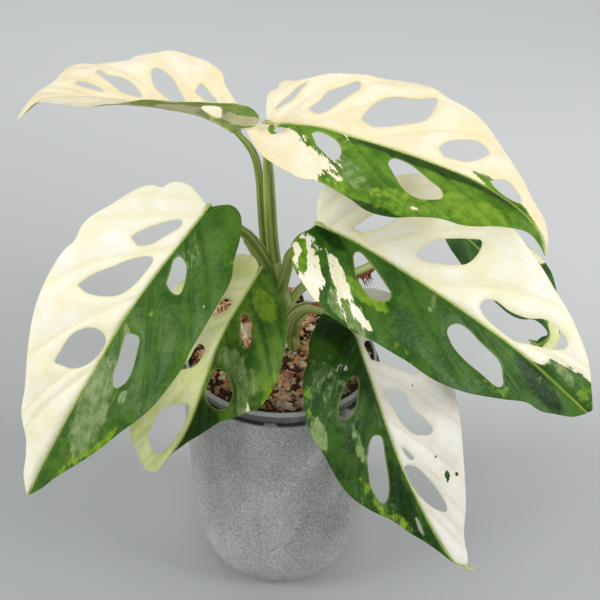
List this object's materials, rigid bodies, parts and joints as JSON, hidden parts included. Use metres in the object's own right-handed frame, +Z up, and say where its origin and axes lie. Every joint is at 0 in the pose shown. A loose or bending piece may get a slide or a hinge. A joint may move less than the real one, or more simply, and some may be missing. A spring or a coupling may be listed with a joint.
{
  "type": "potted variegated swiss cheese vine",
  "caption": "Young climbing aroid with holed leaves, half cream and half green, in a thin nursery pot inside a round-bottomed concrete pot.",
  "frame": {"origin": "middle of the flat foot of the concrete pot, on the surface it stands on", "axes": "+Z up along the pot's axis, -Y towards the viewer of the picture, +X to the viewer's right"},
  "size_m": [0.2896, 0.1805, 0.2758],
  "materials": {
    "concrete": "matte",
    "nursery_plastic": "satin",
    "bark_and_coir": "matte",
    "stalk_green": "satin",
    "leaf_cream": "satin",
    "leaf_half_cream": "satin",
    "leaf_green": "satin",
    "dry_fibre": "matte"
  },
  "bodies": {
    "root": {"cover_pot": "concrete", "nursery_pot": "nursery_plastic", "soil": "bark_and_coir", "stem": "stalk_green", "stalk_upper_right": "stalk_green", "stalk_upper_left": "stalk_green", "stalk_left": "stalk_green", "stalk_right": "stalk_green", "stalk_lower_right": "stalk_green", "stalk_lower_left": "stalk_green", "stalk_back": "stalk_green", "leaf_upper_left": "leaf_cream", "leaf_upper_right": "leaf_cream", "leaf_left": "leaf_half_cream", "leaf_lower_left": "leaf_green", "leaf_right": "leaf_half_cream", "leaf_lower_right": "leaf_half_cream", "leaf_back": "leaf_green", "dry_sheath": "dry_fibre"}
  },
  "joints": []
}
